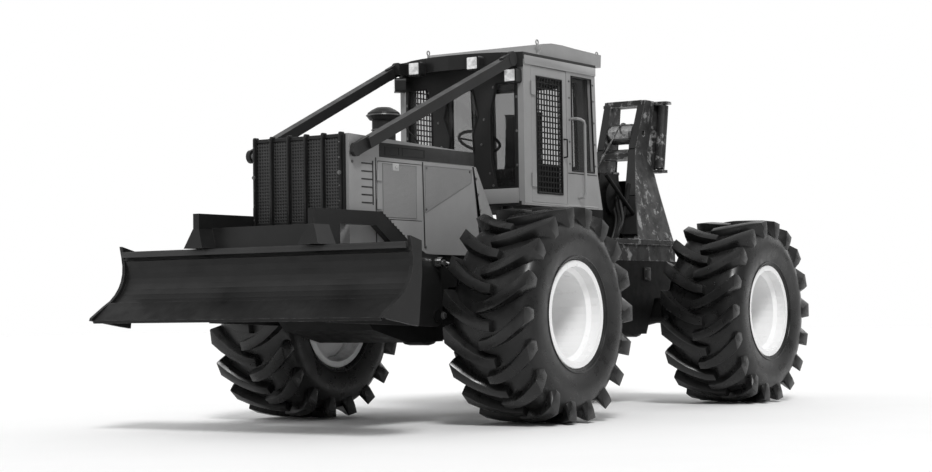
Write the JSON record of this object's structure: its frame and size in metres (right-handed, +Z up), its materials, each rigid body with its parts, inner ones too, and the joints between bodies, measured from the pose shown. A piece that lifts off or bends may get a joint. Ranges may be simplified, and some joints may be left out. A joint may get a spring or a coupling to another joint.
{
  "type": "cable skidder",
  "caption": "Articulated cable skidder with a front blade, guarded cab, rear winch and an arch with a roller fairlead, on large forestry tyres.",
  "frame": {"origin": "on the ground, below the middle of the machine's length and width", "axes": "-Y towards the blade, +X to the machine's left, +Z up"},
  "size_m": [3.218, 7.095, 3.328],
  "materials": {
    "body_paint": "satin",
    "dark_paint": "satin",
    "frame_paint": "satin",
    "blade_paint": "satin",
    "edge_steel": "worn",
    "worn_steel": "worn",
    "rod_chrome": "polished",
    "rim_paint": "gloss",
    "tyre_rubber": "matte",
    "grille_paint": "satin",
    "window_glass": "clear",
    "seat_cloth": "woven",
    "interior_plastic": "matte"
  },
  "bodies": {
    "front_chassis": {"air_precleaner": "dark_paint", "brush_guard_left": "dark_paint", "brush_guard_right": "dark_paint", "cab_floor": "dark_paint", "cab_front_wall": "dark_paint", "cab_rear_wall": "body_paint", "cab_roof": "dark_paint", "cab_side_left": "body_paint", "cab_side_right": "body_paint", "engine_block": "edge_steel", "front_axle": "frame_paint", "front_frame": "frame_paint", "hood_shell": "body_paint", "hood_top": "body_paint", "hydraulic_tank": "frame_paint", "lever_console": "interior_plastic", "radiator": "grille_paint", "rear_window": "window_glass", "roof_unit": "body_paint", "seat_back": "seat_cloth", "seat_cushion": "seat_cloth", "side_window_left": "window_glass", "side_window_right": "window_glass", "steering_console": "interior_plastic", "windshield": "window_glass"},
    "rear_chassis": {"arch": "worn_steel", "rear_axle": "frame_paint", "rear_frame": "frame_paint", "winch_cable": "worn_steel", "winch_housing": "frame_paint"},
    "blade": {"blade": "blade_paint", "cutting_edge": "edge_steel", "push_frame": "blade_paint"},
    "cab_door_left": {"cab_door_left": "body_paint"},
    "cab_door_right": {"cab_door_right": "body_paint"},
    "fairlead_roller": {"fairlead_roller": "worn_steel"},
    "front_left_wheel": {"front_left_rim": "rim_paint", "front_left_tyre": "tyre_rubber"},
    "front_right_wheel": {"front_right_rim": "rim_paint", "front_right_tyre": "tyre_rubber"},
    "grille_door": {"grille_door": "grille_paint"},
    "hood_door_left": {"hood_door_left": "body_paint"},
    "hood_door_right": {"hood_door_right": "body_paint"},
    "lift_barrel_left": {"lift_barrel_left": "frame_paint"},
    "lift_barrel_right": {"lift_barrel_right": "frame_paint"},
    "lift_rod_left": {"lift_rod_left": "rod_chrome"},
    "lift_rod_right": {"lift_rod_right": "rod_chrome"},
    "rear_left_wheel": {"rear_left_rim": "rim_paint", "rear_left_tyre": "tyre_rubber"},
    "rear_right_wheel": {"rear_right_rim": "rim_paint", "rear_right_tyre": "tyre_rubber"},
    "side_roller_left": {"side_roller_left": "worn_steel"},
    "side_roller_right": {"side_roller_right": "worn_steel"},
    "steering_barrel_left": {"steering_barrel_left": "frame_paint"},
    "steering_barrel_right": {"steering_barrel_right": "frame_paint"},
    "steering_rod_left": {"steering_rod_left": "rod_chrome"},
    "steering_rod_right": {"steering_rod_right": "rod_chrome"},
    "winch_drum": {"winch_drum": "edge_steel"}
  },
  "joints": [
    {"name": "articulation", "type": "hinge", "parent": "front_chassis", "child": "rear_chassis", "pos_m": [0, 0.8075, 1.05], "axis": [0, 0, 1], "range_deg": [-45, 45]},
    {"name": "blade_lift", "type": "hinge", "parent": "front_chassis", "child": "blade", "pos_m": [0, -1.6485, 0.896], "axis": [1, 0, 0], "range_deg": [-4, 32]},
    {"name": "front_left_wheel_spin", "type": "hinge", "parent": "front_chassis", "child": "front_left_wheel", "pos_m": [1.2215, -1.0425, 0.89], "axis": [1, 0, 0], "continuous": true},
    {"name": "rear_left_wheel_spin", "type": "hinge", "parent": "rear_chassis", "child": "rear_left_wheel", "pos_m": [1.2215, 2.6575, 0.89], "axis": [1, 0, 0], "continuous": true},
    {"name": "lift_barrel_left_pivot", "type": "hinge", "parent": "front_chassis", "child": "lift_barrel_left", "pos_m": [0.645, -0.6125, 1.15], "axis": [1, 0, 0], "range_deg": [-1, 5]},
    {"name": "lift_rod_left_slide", "type": "slide", "parent": "lift_barrel_left", "child": "lift_rod_left", "axis": [0, -0.9859, 0.1675], "range_m": [-0.03, 0.225]},
    {"name": "steering_barrel_left_pivot", "type": "hinge", "parent": "front_chassis", "child": "steering_barrel_left", "pos_m": [0.24, 0.1575, 1.05], "axis": [0, 0, 1], "range_deg": [-10, 10]},
    {"name": "steering_rod_left_slide", "type": "slide", "parent": "steering_barrel_left", "child": "steering_rod_left", "axis": [0.025, 0.9997, 0], "range_m": [-0.2, 0.2]},
    {"name": "cab_door_left_hinge", "type": "hinge", "parent": "front_chassis", "child": "cab_door_left", "pos_m": [0.6683, -0.2265, 2.48], "axis": [0, 0, -1], "range_deg": [0, 90]},
    {"name": "hood_door_left_hinge", "type": "hinge", "parent": "front_chassis", "child": "hood_door_left", "pos_m": [0.4883, -2.2865, 1.9], "axis": [0, 0, -1], "range_deg": [0, 90]},
    {"name": "side_roller_left_spin", "type": "hinge", "parent": "rear_chassis", "child": "side_roller_left", "pos_m": [0.31, 2.8825, 2.675], "axis": [0, 0.1669, 0.986], "continuous": true},
    {"name": "front_right_wheel_spin", "type": "hinge", "parent": "front_chassis", "child": "front_right_wheel", "pos_m": [-1.2215, -1.0425, 0.89], "axis": [1, 0, 0], "continuous": true},
    {"name": "rear_right_wheel_spin", "type": "hinge", "parent": "rear_chassis", "child": "rear_right_wheel", "pos_m": [-1.2215, 2.6575, 0.89], "axis": [1, 0, 0], "continuous": true},
    {"name": "lift_barrel_right_pivot", "type": "hinge", "parent": "front_chassis", "child": "lift_barrel_right", "pos_m": [-0.645, -0.6125, 1.15], "axis": [1, 0, 0], "range_deg": [-1, 5]},
    {"name": "lift_rod_right_slide", "type": "slide", "parent": "lift_barrel_right", "child": "lift_rod_right", "axis": [0, -0.9859, 0.1675], "range_m": [-0.03, 0.225]},
    {"name": "steering_barrel_right_pivot", "type": "hinge", "parent": "front_chassis", "child": "steering_barrel_right", "pos_m": [-0.24, 0.1575, 1.05], "axis": [0, 0, 1], "range_deg": [-10, 10]},
    {"name": "steering_rod_right_slide", "type": "slide", "parent": "steering_barrel_right", "child": "steering_rod_right", "axis": [-0.025, 0.9997, 0], "range_m": [-0.2, 0.2]},
    {"name": "cab_door_right_hinge", "type": "hinge", "parent": "front_chassis", "child": "cab_door_right", "pos_m": [-0.6683, -0.2265, 2.48], "axis": [0, 0, 1], "range_deg": [0, 90]},
    {"name": "hood_door_right_hinge", "type": "hinge", "parent": "front_chassis", "child": "hood_door_right", "pos_m": [-0.4883, -2.2865, 1.9], "axis": [0, 0, 1], "range_deg": [0, 90]},
    {"name": "side_roller_right_spin", "type": "hinge", "parent": "rear_chassis", "child": "side_roller_right", "pos_m": [-0.31, 2.8825, 2.675], "axis": [0, 0.1669, 0.986], "continuous": true},
    {"name": "grille_door_hinge", "type": "hinge", "parent": "front_chassis", "child": "grille_door", "pos_m": [-0.462, -2.6715, 1.97], "axis": [0, 0, -1], "range_deg": [0, 90]},
    {"name": "winch_drum_spin", "type": "hinge", "parent": "rear_chassis", "child": "winch_drum", "pos_m": [0, 1.9675, 2.02], "axis": [1, 0, 0], "continuous": true},
    {"name": "fairlead_roller_spin", "type": "hinge", "parent": "rear_chassis", "child": "fairlead_roller", "pos_m": [0, 2.6515, 2.706], "axis": [1, 0, 0], "continuous": true}
  ],
  "couplings": [
    {"joint": "lift_barrel_left_pivot", "follows": "blade_lift", "ratio": 0.1342},
    {"joint": "lift_rod_left_slide", "follows": "blade_lift", "m_per_rad": 0.3972},
    {"joint": "steering_barrel_left_pivot", "follows": "articulation", "ratio": 0.193},
    {"joint": "steering_rod_left_slide", "follows": "articulation", "m_per_rad": 0.2497},
    {"joint": "lift_barrel_right_pivot", "follows": "blade_lift", "ratio": 0.1342},
    {"joint": "lift_rod_right_slide", "follows": "blade_lift", "m_per_rad": 0.3972},
    {"joint": "steering_barrel_right_pivot", "follows": "articulation", "ratio": 0.193},
    {"joint": "steering_rod_right_slide", "follows": "articulation", "m_per_rad": -0.2497}
  ]
}
